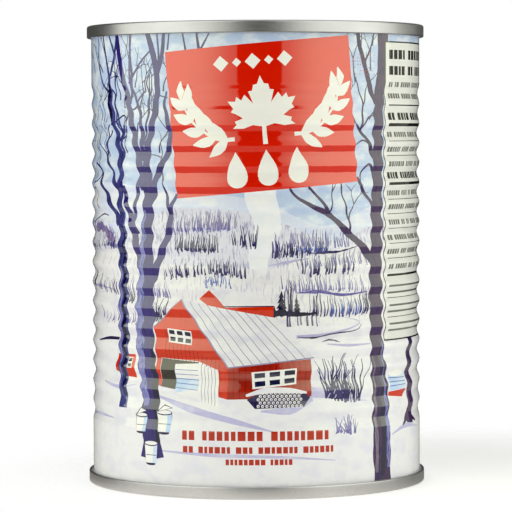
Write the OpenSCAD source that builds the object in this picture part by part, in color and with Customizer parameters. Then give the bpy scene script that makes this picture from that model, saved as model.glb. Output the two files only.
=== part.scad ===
// Three-piece food tin: a beaded, printed body wall filled with syrup, shut at
// both ends by pressed tinplate ends that are double-seamed onto the wall.
// Millimetres. +Z is up, and the origin is the centre of the base, on the
// surface that the tin stands on.

/* [Tin] */
// Height over both double seams
can_h = 116; // [80:1:180]
// Outside diameter of the plain body wall
body_d = 83.7; // [60:0.1:110]

/* [Body beads] */
// Height of one bead, from crest to crest
bead_pitch = 5; // [3:0.5:8]
// Depth of a full bead below the plain wall
bead_depth = 0.75; // [0.3:0.05:1.2]
// Depth of the shallower beads at each end of the beaded band
end_bead_depth = 0.5; // [0.2:0.05:1]
// How many beads at each end of the band are shallow
end_beads = 2; // [0:1:3]
// Least plain wall below the beaded band, from the base
plain_below = 16.2; // [8:0.1:25]
// Least plain wall above the beaded band, from the top
plain_above = 14.8; // [8:0.1:25]

/* [Double seams] */
// Height of a double seam
seam_h = 3.05; // [2.4:0.05:4]
// How far a seam stands out from the body wall
seam_proud = 1.1; // [0.7:0.05:1.5]
// How far a seam reaches in from the outside of the body wall
seam_inset = 0.42; // [0.3:0.01:0.6]
// Rounding of the seam's crown
crown_r = 0.5; // [0.3:0.05:0.6]
// Rounding of the seam's free lower edge
hem_r = 0.35; // [0.1:0.05:0.5]

/* [Ends] */
// Thickness of the end plate
plate = 0.24; // [0.15:0.01:0.4]
// Depth of the countersink, from the crown of the seam
countersink_d = 4; // [3.4:0.1:5.5]
// Width of the countersink's flat bottom
countersink_w = 0.9; // [0.5:0.1:2]
// Inward lean of the chuck wall over its height
chuck_lean = 0.3; // [0.1:0.05:0.6]
// Height of the outer panel ring above the countersink
ring_rise = 1.3; // [0.6:0.1:2]
// Width of the rise from the countersink to the outer ring
ring_slope = 1.1; // [0.8:0.1:2]
// Width of the flat outer panel ring
ring_w = 3; // [2:0.1:6]
// Drop of each expansion step towards the centre
step_drop = 0.45; // [0.2:0.05:0.8]
// Width of each expansion step
step_w = 1.4; // [1:0.1:3]
// Distance between the first and the second expansion step
step_gap = 6.5; // [3:0.1:9]

/* [Hidden] */

wall_r = body_d / 2;
seam_r = wall_r + seam_proud;
chuck_r = wall_r - seam_inset;

// The beads fill whole pitches of the wall that the plain bands leave free.
band_room = can_h - plain_below - plain_above;
bead_n = floor(band_room / bead_pitch + 0.001);
band_h = bead_n * bead_pitch;
band_z = plain_below + (band_room - band_h) / 2;

bead_segments = 10;
arc_segments = 5;
slope_segments = 6;
$fn = 96;

// Radii of the end panel's features, from the chuck wall inwards.
sink_out_r = chuck_r - chuck_lean;
sink_in_r = sink_out_r - countersink_w;
ring_out_r = sink_in_r - ring_slope;
step_1_r = ring_out_r - ring_w;
step_2_r = step_1_r - step_w - step_gap;

// Depths of those features below the crown of the seam.
ring_d = countersink_d - ring_rise;
shelf_d = ring_d + step_drop;
panel_d = ring_d + 2 * step_drop;

// A smooth step from 0 to 1.
function ease(t) = (1 - cos(180 * t)) / 2;

function bead_at(i) = (i < end_beads || i >= bead_n - end_beads) ? end_bead_depth : bead_depth;

// Points up the outside of the body wall: each bead is one full cosine wave.
function bead_points(i) = [
    for (k = [0 : bead_segments - 1])
        [wall_r - bead_at(i) * (1 - cos(360 * k / bead_segments)) / 2,
         band_z + (i + k / bead_segments) * bead_pitch]
];
function wall_points() = [
    for (i = [0 : bead_n - 1]) each bead_points(i),
    [wall_r, band_z + band_h]
];

// A slope between two radii and two depths, eased at both ends, as [radius, depth].
function slope(r0, d0, r1, d1) = [
    for (k = [0 : slope_segments])
        [r0 + (r1 - r0) * k / slope_segments,
         d0 + (d1 - d0) * ease(k / slope_segments)]
];

// Outside of the end panel from the chuck wall in to the axis, as [radius, depth].
function panel_line() = concat(
    [[sink_out_r, countersink_d]],
    slope(sink_in_r, countersink_d, ring_out_r, ring_d),
    slope(step_1_r, ring_d, step_1_r - step_w, shelf_d),
    slope(step_2_r, shelf_d, step_2_r - step_w, panel_d)
);

// The same line one plate thickness further in: down everywhere, and out at the chuck wall.
function under_line() = [
    for (i = [0 : len(panel_line()) - 1])
        let (p = panel_line()[i])
        [p[0] + (i == 0 ? plate : 0), p[1] + plate]
];

function arc(r, z, radius, from, to) = [
    for (k = [0 : arc_segments])
        let (a = from + (to - from) * k / arc_segments)
        [r + radius * cos(a), z + radius * sin(a)]
];

// Section of a double seam above its hem line, closed by the chuck wall.
// Heights are negative depths below the crown.
function seam_points() = concat(
    arc(chuck_r + crown_r, -crown_r, crown_r, 180, 90),
    arc(seam_r - crown_r, -crown_r, crown_r, 90, 0),
    arc(seam_r - hem_r, hem_r - seam_h, hem_r, 0, -90),
    [[wall_r, -seam_h], [chuck_r + plate, -seam_h]]
);

function raised(points) = [for (p = points) [p[0], -p[1]]];
function backwards(points) = [for (i = [len(points) - 1 : -1 : 0]) points[i]];

// One whole end as a closed section, with the crown of its seam at height 0.
function end_section() = concat(
    [[0, -panel_d]],
    raised(backwards(panel_line())),
    seam_points(),
    raised(under_line()),
    [[0, -panel_d - plate]]
);

// The face of the filled body that lies against an end, from the wall to the axis.
function seat_line() = concat(
    [[wall_r, -seam_h], [chuck_r + plate, -seam_h]],
    raised(under_line()),
    [[0, -panel_d - plate]]
);

function lifted(points, z) = [for (p = points) [p[0], p[1] + z]];
function flipped(points) = [for (p = points) [p[0], -p[1]]];

module end_plate() {
    rotate_extrude() polygon(end_section());
}

// The tin is shut, so its wall and what fills it are one solid.
module body() {
    color("aliceblue")
    rotate_extrude() polygon(concat(
        backwards(flipped(seat_line())),
        wall_points(),
        lifted(seat_line(), can_h)
    ));
}

module top_end() {
    color("silver")
    translate([0, 0, can_h]) end_plate();
}

module bottom_end() {
    color("silver")
    mirror([0, 0, 1]) end_plate();
}

body();
top_end();
bottom_end();
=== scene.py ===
"""A shut, printed food tin, finished round its fixed CAD frame.

The real tin is a beaded steel wall, printed flat, rolled, welded and varnished, with a
pressed tinplate end seamed onto each side. The CAD model says how big it is and where
each piece goes. This lesson makes what the eye sees: the wall as one mesh whose faces
follow the edges of the inks, the two pressed ends, the welded side seam, and their
finishes, floor, light and camera.
"""

# %% [markdown]
# # 1. The frame
# A tin is made to fit its seams, so its sizes come first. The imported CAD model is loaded
# as a fixed frame, in metres. Every size below is read from it, or is a named value in
# millimetres of the kind that a can maker would put on a drawing.

import bpy
import numpy as np
from mathutils import Matrix, Vector
from mathutils.geometry import delaunay_2d_cdt


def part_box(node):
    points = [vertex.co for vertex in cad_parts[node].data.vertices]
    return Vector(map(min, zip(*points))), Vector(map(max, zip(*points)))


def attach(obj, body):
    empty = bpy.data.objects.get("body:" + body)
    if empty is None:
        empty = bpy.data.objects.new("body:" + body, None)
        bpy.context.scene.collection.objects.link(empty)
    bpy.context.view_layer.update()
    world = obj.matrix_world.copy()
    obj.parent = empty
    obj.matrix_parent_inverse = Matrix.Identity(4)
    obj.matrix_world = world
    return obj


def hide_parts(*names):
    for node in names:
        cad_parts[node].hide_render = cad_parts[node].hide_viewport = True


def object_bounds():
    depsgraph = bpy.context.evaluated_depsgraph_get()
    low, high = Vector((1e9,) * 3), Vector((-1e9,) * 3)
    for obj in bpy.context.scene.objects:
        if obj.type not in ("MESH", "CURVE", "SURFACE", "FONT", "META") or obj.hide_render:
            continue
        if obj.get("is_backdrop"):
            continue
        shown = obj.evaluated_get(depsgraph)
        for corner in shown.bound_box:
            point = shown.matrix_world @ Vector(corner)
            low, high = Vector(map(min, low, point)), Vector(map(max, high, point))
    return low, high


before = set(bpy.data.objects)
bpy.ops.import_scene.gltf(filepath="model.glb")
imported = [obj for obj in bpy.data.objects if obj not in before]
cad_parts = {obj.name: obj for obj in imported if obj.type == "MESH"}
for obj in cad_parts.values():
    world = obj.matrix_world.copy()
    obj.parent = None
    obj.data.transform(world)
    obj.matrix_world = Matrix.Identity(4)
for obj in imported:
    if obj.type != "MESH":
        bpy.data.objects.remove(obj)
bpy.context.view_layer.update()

MM = 0.001
wall_r = np.array(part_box("body")[1])[1] / MM
seam_r, can_h = np.array(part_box("top_end")[1])[1:] / MM
girth = 2 * np.pi * wall_r
print(f"wall radius {wall_r:.2f}, seam radius {seam_r:.2f}, height {can_h:.2f}, girth {girth:.1f} mm")

# %% [markdown]
# # 2. The camera
# A long lens a little above the middle of the tin keeps its sides almost parallel, as in
# a catalogue. Only the angle matters here, so it is set once, before anything is made.

# %% Camera
camera_distance = 724.8
camera_height = 88.8
look_down = 2.49
camera_tilt = -0.22
lens = 199.0

camera = bpy.data.objects.new("camera", bpy.data.cameras.new("camera"))
bpy.context.scene.collection.objects.link(camera)
camera.data.lens = lens
camera.data.sensor_width = 36
camera.data.clip_start = 0.01
camera.matrix_world = (
    Matrix.Translation(Vector((0, -camera_distance, camera_height)) * MM)
    @ Matrix.Rotation(np.radians(90 - look_down), 4, "X")
    @ Matrix.Rotation(np.radians(camera_tilt), 4, "Z")
)
bpy.context.scene.camera = camera
bpy.context.scene.view_settings.view_transform = "Standard"
print(f"camera {camera_distance} mm away with a {lens} mm lens")

# %% [markdown]
# # 3. The form of the wall
# Beads are rolled into the wall so that it doesn't buckle. They could be modelled as
# seventeen rings, but a wall is one sheet, so it is one function: the radius at a height.
# The flat print is then carried onto that form by the same function.

# %% Radius of the wall at a height
bead_pitch = 5.0
bead_depth = 0.75
end_bead_depth = 0.5
end_beads = 2
bead_count = 17
band_bottom = 16.2
band_top = band_bottom + bead_count * bead_pitch
bead_segments = 6


def bead_at(z):
    """Bead number at each height, and the depth of that bead; the end beads are shallow."""
    number = np.clip(np.floor((z - band_bottom) / bead_pitch), 0, bead_count - 1)
    near_end = (number < end_beads) | (number >= bead_count - end_beads)
    depth = np.where(near_end, end_bead_depth, bead_depth)
    return np.where((z > band_bottom) & (z < band_top), depth, 0.0)


def wall_radius(z):
    """Plain radius less half a bead's depth times one minus the cosine of its phase."""
    phase = 2 * np.pi * (z - band_bottom) / bead_pitch
    return wall_r - bead_at(z) * (1 - np.cos(phase)) / 2


def wall_slope(z):
    """How fast that radius changes with height: the formula's derivative."""
    phase = 2 * np.pi * (z - band_bottom) / bead_pitch
    return -bead_at(z) * np.pi / bead_pitch * np.sin(phase)


def on_wall(s, z, lift=0.0):
    """Carries a flat place, s round the girth and z up, onto the wall, lifted by lift.

    The angle is s over the plain radius. It starts at the middle of the front.
    """
    angle = s / wall_r
    r = wall_radius(z) + lift
    return np.stack([r * np.sin(angle), -r * np.cos(angle), z * np.ones_like(r)], -1)


def wall_normal(s, z):
    """Outward normal: the radial direction tipped up by the slope of the radius."""
    angle = s / wall_r
    n = np.stack([np.sin(angle), -np.cos(angle), -wall_slope(z)], -1)
    return n / np.linalg.norm(n, axis=-1, keepdims=True)


waist = wall_radius(np.linspace(band_bottom, band_top, 401)).min()
print(f"beads from {band_bottom} to {band_top} mm, narrowest radius {waist:.2f} mm")

# %% [markdown]
# # 4. A sheet to print on
# The tin is printed as a flat sheet. Its two side edges meet at the weld, which is kept
# away from the picture. The print has two equal pictures, one on each face of the tin,
# so everything drawn in a picture repeats after half a girth.

# %% The flat sheet
columns = 108
column = girth / columns
weld_at = girth / 4 + 9 * column
sheet_left, sheet_right = weld_at - girth, weld_at
wall_inset = 2.3
wall_bottom, wall_top = wall_inset, can_h - wall_inset
picture_centres = (0.0, -girth / 2, girth / 2)

art = []


def clipped(outline, axis, limit, keep_below):
    """The part of an outline on one side of a line.

    Each point on the right side is kept, and each edge that crosses gives its crossing.
    """
    if len(outline) == 0:
        return outline
    after = np.roll(outline, -1, 0)
    sign = 1 if keep_below else -1
    here, there = sign * (limit - outline[:, axis]), sign * (limit - after[:, axis])
    keep, cross = here >= 0, (here >= 0) != (there >= 0)
    share = np.where(cross, here / np.where(cross, here - there, 1), 0)[:, None]
    pairs = np.stack([outline, outline + share * (after - outline)], 1)
    return pairs[np.stack([keep, cross], 1)]


def ink(name, outline, centre=0.0):
    """Lays one closed outline of an ink on the sheet, over what is there already."""
    outline = np.asarray(outline, float) + (centre, 0)
    margin = 0.4
    limits = ((sheet_left + margin, sheet_right - margin), (wall_bottom, wall_top))
    for axis, (low, high) in enumerate(limits):
        outline = clipped(outline, axis, low, False)
        outline = clipped(outline, axis, high, True)
    if len(outline) > 2:
        art.append((name, outline))


print(f"sheet from {sheet_left:.1f} to {sheet_right:.1f} mm round the front, weld at {weld_at:.1f}")

# %% [markdown]
# # 5. A printer's drawing tools
# Every shape on the sheet is a closed outline in millimetres. A picture painted in
# strokes needs few kinds: a box, a disc, a smooth line through points, and a limb, which
# is such a line with a thickness that tapers, for trunks, twigs and flourishes.


# %% Outlines
def box(left, bottom, right, top):
    """Four corners."""
    return np.array([(left, bottom), (right, bottom), (right, top), (left, top)], float)


def disc(s, z, radius, points=14, squash=1.0):
    """Points evenly round a circle, flattened by squash."""
    a = np.linspace(0, 2 * np.pi, points, endpoint=False)
    return np.stack([s + radius * np.cos(a), z + radius * squash * np.sin(a)], -1)


def smooth(points, steps=5):
    """A curve through the points: a Catmull-Rom cubic on each span, in steps."""
    p = np.asarray(points, float)
    p = np.concatenate([2 * p[:1] - p[1:2], p, 2 * p[-1:] - p[-2:-1]])
    t = np.linspace(0, 1, steps, endpoint=False)[:, None]
    before, start, stop, after = (p[k : len(p) - 3 + k, None] for k in range(4))
    curve = 0.5 * (
        2 * start
        + (stop - before) * t
        + (2 * before - 5 * start + 4 * stop - after) * t**2
        + (3 * start - before - 3 * stop + after) * t**3
    )
    return np.concatenate([curve.reshape(-1, 2), p[-2:-1]])


def limb(points, widths, rough=0.0, seed=0, steps=5):
    """A line with thickness: its two sides lie half a width either side of the curve.

    rough makes the sides uneven, as bark is, by a share of the width.
    """
    line = smooth(points, steps)
    along = np.linspace(0, 1, len(line))
    width = np.interp(along, np.linspace(0, 1, len(widths)), widths)
    heading = np.gradient(line, axis=0)
    heading /= np.linalg.norm(heading, axis=1, keepdims=True) + 1e-9
    across = np.stack([-heading[:, 1], heading[:, 0]], -1)
    uneven = 1 + rough * np.random.default_rng(seed).uniform(-1, 1, (2, len(line)))
    left = line + across * (width * uneven[0] / 2)[:, None]
    right = line - across * (width * uneven[1] / 2)[:, None]
    return np.concatenate([left, right[::-1]])


def turned(outline, degrees, centre):
    """The outline turned about the origin and then moved to centre."""
    a = np.radians(degrees)
    turn = np.array([(np.cos(a), np.sin(a)), (-np.sin(a), np.cos(a))])
    return np.asarray(outline, float) @ turn + centre


def below(points, floor=0.0):
    """The field under a smooth line, down to floor."""
    line = smooth(points)
    return np.concatenate([line, [(line[-1, 0], floor), (line[0, 0], floor)]])


print("drawing tools ready")

# %% [markdown]
# # 6. Snow, sky and far hills
# The picture is a winter valley in a few fields of colour. Fields are drawn from the back
# to the front, as a painter lays them, and each lies over what came before. The
# hill lines end at the height that they started at, so that the two pictures join.

# %% Fields of the landscape
half = girth / 4
ridge = [(-half, 74), (-52, 76.6), (-36, 76.2), (-20, 74.4), (-6, 73.6), (4, 71.2), (11, 68), (17, 66.2)]
ridge += [(24, 67.8), (31, 70.8), (42, 74.5), (54, 75.5), (half, 74)]
slope_line = [(-half, 66), (-50, 67), (-38, 64), (-24, 70), (-12, 70.5), (-2, 69.5), (8, 66.4)]
slope_line += [(20, 62.5), (32, 66.2), (46, 69), (58, 67), (half, 66)]
meadow = [(-half, 56), (-52, 59), (-38, 60.5), (-24, 57), (-8, 56.5), (4, 56), (16, 59.6), (30, 61.6)]
meadow += [(44, 60), (56, 57), (half, 56)]
field = [(-half, 49.5), (-50, 50.5), (-40, 47.5), (-26, 45), (0, 44), (16, 42.5), (30, 43)]
field += [(48, 47), (half, 49.5)]
near = [(-half, 37), (-48, 38.2), (-30, 36), (0, 37), (14, 38.4), (26, 38), (40, 37)]
near += [(54, 36.2), (half, 37)]
shades = [
    ([(-26, 24.6), (-16, 21.6), (-6, 19), (4, 16.4)], [0.6, 1.8, 1.5, 0.3]),
    ([(-25, 11.2), (-10, 10.6), (6, 10.2), (20, 9)], [0.3, 0.9, 0.7, 0.2]),
    ([(-60, 18), (-52, 18.4), (-43, 18)], [0.4, 0.8, 0.2]),
    ([(13.6, 25.8), (19, 25.2), (24, 23.8), (30, 23)], [2.6, 2.2, 1.0, 0.2]),
    ([(1, 21.4), (8, 21.6), (14, 24.2)], [0.4, 2.2, 1.2]),
    ([(-48, 27), (-40, 26), (-33, 27)], [0.3, 1.0, 0.2]),
    ([(39, 14), (46, 15.6), (56, 14.6)], [0.3, 1.2, 0.3]),
]
lane_bend = [(10, 39.3), (17, 39.8), (24, 41), (27.5, 42.6), (22, 44)]
lane_bank = [(10.4, 39.3), (14, 39), (20, 39.9), (26, 40.5), (27.9, 42)]


def landscape(at):
    """Sky first, then each nearer stretch of snow, with lilac shade lying across it."""
    ink("sky", box(-half, wall_bottom, half, wall_top), at)
    ink("far_snow", below(ridge), at)
    ink("slope", below(slope_line), at)
    ink("steam", limb([(3, 50), (0.5, 58), (3, 66), (1, 75), (4, 82)], [1.5, 5, 6.5, 8, 9]), at)
    ink("meadow", below(meadow), at)
    ink("field", below(field), at)
    ink("snow", below(near), at)
    for points, widths in shades:
        ink("shade", limb(points, widths), at)
    ink("lane", limb(lane_bend, [0.9, 0.5, 0.4, 0.3, 0.1]), at)
    ink("twig", limb(lane_bank, [0.2, 0.4, 0.3, 0.1], 0.5, 30), at)
    ink("twig", limb([(16.6, 38), (19, 38.4), (21.6, 37.8)], [0.1, 0.6, 0.1], 0.4, 31), at)
    ink("lane", limb([(18, 37.4), (24, 36.9), (31, 37)], [0.3, 0.7, 0.3]), at)
    ink("twig", limb([(-51.6, 37), (-46, 37.8), (-40.4, 38)], [0.4, 0.8, 0.7]), at)


for centre in picture_centres:
    landscape(centre)
print(f"{len(art)} fields of landscape")

# %% [markdown]
# # 7. Woods in thin strokes
# Bare woods far away are only rows of upright strokes, each thicker at its foot. One
# stroke is a thin four-cornered sliver. A whole row is made at once as an array, with
# lengths and gaps drawn from a fixed seed, so that it comes out the same each time.


# %% Rows of strokes
def strokes(name, at, left, right, foot, tall, thick, count, seed, lean=0.12):
    """count slivers between left and right, standing near the heights that foot gives.

    foot is a smooth line, tall is the shortest and tallest stroke, and each sliver's top
    is a third as wide as its foot and moved aside by its lean.
    """
    rng = np.random.default_rng(seed)
    s = np.sort(rng.uniform(left, right, count))
    line = smooth(foot)
    z = np.interp(s, line[:, 0], line[:, 1]) + rng.normal(0, 0.35, count)
    height = rng.uniform(*tall, count)
    width = rng.uniform(0.6, 1.3, count) * thick
    top = s + height * rng.normal(0, lean, count)
    corners = [(s - width / 2, z), (s + width / 2, z + 0.1)]
    corners += [(top + width / 6, z + height), (top - width / 6, z + height)]
    for sliver in np.stack([np.stack(c, -1) for c in corners], 1):
        ink(name, sliver, at)


def woods(at):
    """The valley's woods, from the far slope down to the edge of the near field."""
    strokes("far_wood", at, -22, -6, [(-22, 64.5), (-6, 65.5)], (1.6, 4.6), 0.3, 78, 1)
    strokes("wood", at, -21, -9, [(-21, 60.4), (-9, 60.0)], (1.6, 4.6), 0.34, 64, 2)
    strokes("wood", at, -24, -2, [(-24, 53.2), (-12, 54.6), (-2, 53.6)], (1.4, 3.6), 0.36, 74, 3)
    strokes("wood", at, -6, 0, [(-6, 62), (0, 61)], (2.0, 5.4), 0.32, 20, 4)
    strokes("hedge", at, -18, -4, [(-18, 66.6), (-4, 66)], (1.2, 3.6), 0.28, 34, 19)
    strokes("brush", at, -13, -6, [(-13, 52.2), (-6, 52)], (0.8, 2.2), 0.3, 34, 20, 0.3)
    strokes("wood", at, -28, -23.4, [(-28, 42.6), (-25, 43.6), (-23.4, 45)], (1.4, 5.0), 0.4, 22, 22, 0.3)
    far_hedge = [(-56, 64.2), (-50, 65.6), (-45, 63.4), (-41.4, 61.4)]
    ink("hedge", limb(far_hedge, [0.6, 2.8, 2.4, 0.8], 0.3, 3), at)
    ink("far_wood", limb([(-45.4, 61.6), (-42.6, 61.2), (-40.6, 60.8)], [0.4, 1.4, 0.8], 0.4, 4), at)
    ink("lane", limb([(-58, 50.6), (-50, 50.8), (-42, 50)], [0.2, 0.9, 0.3], 0.4, 5), at)
    strokes("far_wood", at, 4, 24, [(4, 60), (12, 61.4), (24, 61.2)], (1.4, 4.2), 0.3, 84, 5)
    strokes("wood", at, 4, 18, [(4, 58.6), (18, 59.8)], (1.4, 3.8), 0.36, 74, 6)
    strokes("brush", at, 10.5, 17.5, [(10.5, 60), (17.5, 60.2)], (0.6, 1.8), 0.34, 26, 21, 0.3)
    ink("wood", limb([(13.6, 59.6), (18, 59.7), (22, 60), (27, 61.2)], [0.2, 0.8, 0.5, 0.1], 0.4, 6), at)
    ink("lane", limb([(3, 56.6), (7, 57.4), (13.5, 58.4)], [0.3, 0.6, 0.2], 0.4, 7), at)
    strokes("wood", at, 11.5, 25.5, [(11.5, 54.5), (25.5, 54.7)], (2.8, 5.0), 0.46, 24, 7, 0.04)
    strokes("far_wood", at, 10, 31, [(10, 56), (31, 57)], (1.4, 3.6), 0.3, 44, 23)
    strokes("far_wood", at, 6, 31.4, [(6, 50.4), (31, 50.2)], (1.2, 4.4), 0.3, 76, 8)
    ink("far_wood", limb([(10, 50), (16, 50.2), (22, 49.3), (30, 49.8)], [0.2, 0.9, 0.9, 0.2], 0.5, 8), at)
    strokes("wood", at, 14, 31.4, [(14, 44.6), (24, 44.1), (31, 45)], (3.0, 5.6), 0.42, 42, 9, 0.06)
    strokes("brush", at, 19, 28, [(19, 44.4), (28, 44.6)], (1.4, 3.8), 0.34, 20, 24, 0.06)
    strokes("wood", at, 6.4, 15.6, [(6, 42.0), (16, 42.4)], (3.0, 3.6), 0.5, 9, 10, 0.02)
    strokes("twig", at, 7, 15, [(7, 45), (15, 45)], (5.0, 9.5), 0.36, 10, 25, 0.05)
    ink("fir", limb([(4, 45.2), (8, 45), (12, 44.9), (15.4, 45)], [1.8, 1.0, 0.9, 0.5], 0.4, 9), at)
    strokes("far_wood", at, -62, -42, [(-62, 64), (-50, 65), (-42, 62.6)], (1.2, 3.2), 0.34, 60, 11)
    strokes("wood", at, -60, -41, [(-60, 59.4), (-50, 60.4), (-41, 60.6)], (1.0, 3.0), 0.4, 48, 12)
    strokes("wood", at, -52, -34, [(-52, 50), (-42, 49), (-34, 47)], (1.4, 4.2), 0.4, 34, 13)
    strokes("far_wood", at, -36, -22, [(-36, 50), (-22, 48.6)], (1.4, 4.6), 0.3, 36, 14)
    strokes("far_wood", at, -50, -30, [(-50, 43), (-40, 42), (-30, 42)], (1.0, 3.4), 0.34, 30, 15)
    strokes("far_wood", at, 36, 62, [(36, 62), (50, 63), (62, 61)], (1.4, 4.0), 0.32, 60, 16)
    strokes("wood", at, 17.6, 27.4, [(17.6, 24.6), (22, 23.6), (27.4, 23)], (3.4, 11.5), 0.55, 46, 17, 0.3)
    strokes("far_wood", at, 20, 26, [(20, 15.6), (26, 15.2)], (1.4, 4.6), 0.5, 22, 18, 0.4)
    by_the_barn = ((4.4, 44, 3.0), (6.2, 44.2, 6.4), (8.2, 44.2, 3.2), (10, 44.2, 4.8))
    for s, foot, tall in (*by_the_barn, (-56, 50, 5.0), (58, 40, 7.5)):
        fir(s, foot, tall, at)


def fir(s, foot, tall, at):
    """A fir: four stacked triangles, each a third wider than the one above."""
    for k in range(4):
        low, high = foot + tall * (0.12 + 0.2 * k), foot + tall * (0.5 + 0.17 * k)
        reach = tall * (0.26 - 0.05 * k)
        ink("fir", [(s - reach, low), (s, low + 0.25), (s + reach, low), (s, high)], at)
    ink("fir", box(s - 0.2, foot, s + 0.2, foot + tall * 0.2), at)


fields = len(art)
for centre in picture_centres:
    woods(centre)
print(f"{len(art) - fields} strokes of woodland")

# %% [markdown]
# # 8. The sugar house
# A red barn with a pale tin roof stands in the middle of the picture. It is drawn in
# oblique view, so each wall is one flat outline, and boards, roof seams and window bars
# are repeated thin boxes between two edges.


# %% Buildings and stores
def between(a, b, share):
    """The point that lies that share of the way from a to b."""
    return np.asarray(a, float) + (np.asarray(b, float) - a) * share


def lines_across(name, edge_a, edge_b, count, thick, at, skip=0):
    """count thin lines, each from a place on edge_a to the same share along edge_b."""
    for k in range(1 + skip, count + 1):
        share = k / (count + 1)
        ends = [between(*edge_a, share), between(*edge_b, share)]
        ink(name, limb(ends, [thick, thick], steps=1), at)


def window(corners, across, up, at):
    """A white frame with dark panes: the frame's four corners carry a grid of panes."""
    low_left, low_right, top_right, top_left = np.asarray(corners, float)
    ink("paper", corners, at)
    bar, frame_side, sill = 0.12, 0.06, 0.1
    for i in range(across):
        for j in range(up):
            u0, u1 = (i + bar + frame_side) / across, (i + 1 - bar) / across
            v0, v1 = (j + bar + sill) / up, (j + 1 - bar - frame_side) / up
            pane = [
                between(between(low_left, low_right, u), between(top_left, top_right, u), v)
                for u, v in ((u0, v0), (u1, v0), (u1, v1), (u0, v1))
            ]
            ink("pane", pane, at)


def sugar_house(at):
    """Vent house, side wall, roof, gable wall, doors and windows, back to front."""
    apex, eave, corner = (-19.2, 48.4), (-27, 41.4), (-7, 32)
    ridge_end, roof_end = (4.4, 44.1), (14.5, 34.2)
    vent = [(-14.4, 48.6), (-11.6, 50.8), (-7.6, 46.6), (4.2, 46.8), (4.2, 44), (-7.6, 44.2), (-9, 45)]
    gable = [eave, apex, corner, (-7.2, 24.2), (-9.4, 24.8), (-9.4, 31.4), (-14.6, 33.4), (-25.4, 34)]
    ink("barn", vent, at)
    ink("roof", [(-11.6, 50.9), (-0.8, 50.2), (4.5, 46.9), (-7.8, 46.8)], at)
    ink("twig", limb([(-8, 46.8), (4.4, 46.9)], [0.25, 0.25], steps=1), at)
    ink("barn_shade", [corner, (-7.2, 24.2), (13.6, 24.8), (13.7, 33.9)], at)
    lines_across("board", (corner, (13.7, 33.9)), ((-7.2, 24.2), (13.6, 24.8)), 13, 0.16, at)
    ink("roof", [apex, ridge_end, roof_end, (-7.4, 31.9)], at)
    lines_across("roof_seam", (apex, ridge_end), ((-7.4, 31.9), roof_end), 9, 0.16, at)
    ink("roof_seam", limb([(-7.4, 31.9), roof_end], [0.3, 0.3], steps=1), at)
    ink("barn", gable, at)
    ink("barn", [(-26.8, 41.4), (-25.2, 41.4), (-24.9, 27), (-26.2, 27.4)], at)
    lines_across("board", ((-25.6, 41.6), (-8, 32.4)), ((-25.6, 34.2), (-8, 25)), 15, 0.14, at, 1)
    ink("roof_seam", limb([eave, apex, corner], [0.3, 0.35, 0.35], steps=1), at)
    ink("doorway", [(-24.9, 27), (-24.9, 33.9), (-14.6, 33.2), (-14.6, 25.6)], at)
    ink("paper", [(-20.6, 25.4), (-20.8, 32.6), (-14.4, 32.9), (-14.4, 24.2)], at)
    ink("ice", [(-20.6, 25.6), (-20.7, 29.2), (-14.5, 29.0), (-14.5, 26.8)], at)
    lines_across("ice_line", ((-20.7, 25.8), (-20.7, 32.4)), ((-14.5, 25.2), (-14.5, 32.4)), 5, 0.16, at)
    ink("paper", [(-14.5, 24.1), (-14.5, 33), (-9.3, 31), (-9.5, 22.4)], at)
    lines_across("roof_seam", ((-14.5, 33), (-9.3, 31)), ((-14.5, 24.1), (-9.5, 22.4)), 5, 0.14, at)
    window([(-22.8, 37.9), (-16.3, 37.3), (-16.3, 40.7), (-22.8, 41.3)], 3, 2, at)
    window([(-1.0, 26.8), (9.9, 27.9), (9.9, 31.8), (-1.2, 30.9)], 3, 2, at)


def wood_pile(at):
    """Stacked logs: rows of ringed discs, each row half a log aside, under snow."""
    ink("twig", [(-2.4, 24.2), (-0.4, 22), (11.8, 22.4), (13.4, 24.6), (11.4, 26.2), (0.4, 25.8)], at)
    log = 0.52
    for row in range(5):
        for k in range(11 - row % 2):
            s = 0.4 + k * 2 * log * 1.02 + (row % 2) * log
            z = 22.6 + row * log * 1.55
            ink("paper", disc(s, z, log * 0.76, 7), at)
            ink("log_heart", disc(s + 0.05, z - 0.04, log * 0.4, 5), at)
    ink("snow", limb([(-2.6, 25.2), (2, 26.4), (8, 26.4), (12.4, 25.8)], [0.6, 1.4, 1.3, 0.5]), at)


def pail(s, foot, wide, tall, at, lid=True):
    """A sap pail: a body that widens upwards, a shaded side, a hoop and a peaked lid."""
    low, high, top = wide * 0.41, wide * 0.5, foot + tall
    base = disc(s, foot + 0.25, low, 10, 0.28)
    ink("twig", np.concatenate([base[5:], [(s + high + 0.2, top), (s - high - 0.2, top)]]), at)
    body = [(s - low, foot + 0.4), (s + low, foot + 0.4), (s + high, top), (s - high, top)]
    ink("paper", body, at)
    ink("ice", [(s + low * 0.3, foot + 0.4), body[1], body[2], (s + high * 0.4, top)], at)
    ink("twig", limb([(s - low, foot + tall * 0.45), (s + low, foot + tall * 0.45)], [0.16, 0.16]), at)
    ink("twig", disc(s, top, high + 0.25, 14, 0.3), at)
    ink("paper", disc(s, top + 0.08, high, 14, 0.24), at)
    if lid:
        ink("twig", [(s - high, top), (s + high + 0.5, top + 1.2), (s + 0.2, top + 2)], at)
        ink("paper", [(s - high + 0.5, top + 0.2), (s + high, top + 1.2), (s + 0.2, top + 1.7)], at)


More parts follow.
